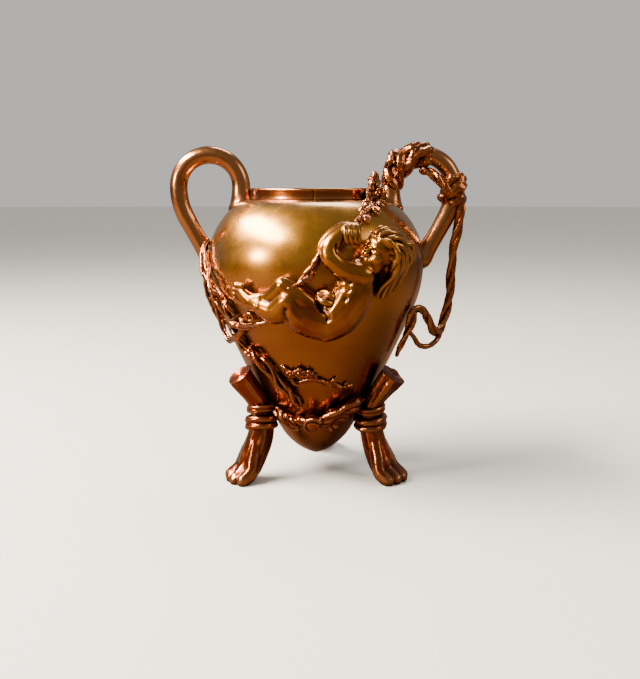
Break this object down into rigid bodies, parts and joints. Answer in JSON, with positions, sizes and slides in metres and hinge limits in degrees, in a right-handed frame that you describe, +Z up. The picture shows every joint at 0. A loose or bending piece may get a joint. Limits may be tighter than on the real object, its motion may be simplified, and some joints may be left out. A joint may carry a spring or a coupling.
{
  "type": "bronze amphora vase",
  "caption": "Small cast bronze amphora vase on lashed branch legs, with loop handles, wound vines and a putto climbing in high relief.",
  "frame": {"origin": "centre of the footprint's box at the height of the soles of the feet", "axes": "+Z up along the vase's axis and out of its mouth; -Y towards the side with the putto; the handles stand along X"},
  "size_m": [0.1207, 0.0984, 0.1363],
  "materials": {
    "golden_bronze": "cast bronze, golden-brown lacquered patina, glossy",
    "copper_bronze": "cast bronze, red-brown patina worn pale on its ridges",
    "dark_bronze": "cast bronze rope, dark brown patina in its grooves",
    "screw_brass": "turned brass, unpolished"
  },
  "bodies": {
    "root": {"vase_body": "golden_bronze", "neck_collar": "copper_bronze", "left_handle": "copper_bronze", "right_handle": "copper_bronze", "handle_dowels": "screw_brass", "handle_vine_wrap": "copper_bronze", "hanging_vine": "copper_bronze", "neck_leaf_cluster": "copper_bronze", "swing_vine": "copper_bronze", "putto": "golden_bronze", "putto_screws": "screw_brass", "heel_vine_knot": "copper_bronze", "left_vine_thick": "copper_bronze", "left_vine_thin": "copper_bronze", "diagonal_vine": "copper_bronze", "blossom_twig": "golden_bronze", "front_garland": "copper_bronze", "left_garland": "copper_bronze", "right_garland": "copper_bronze", "left_leg": "copper_bronze", "right_leg": "copper_bronze", "back_leg": "copper_bronze", "left_lashing": "dark_bronze", "right_lashing": "dark_bronze", "back_lashing": "dark_bronze", "leg_screws": "screw_brass"}
  },
  "joints": []
}
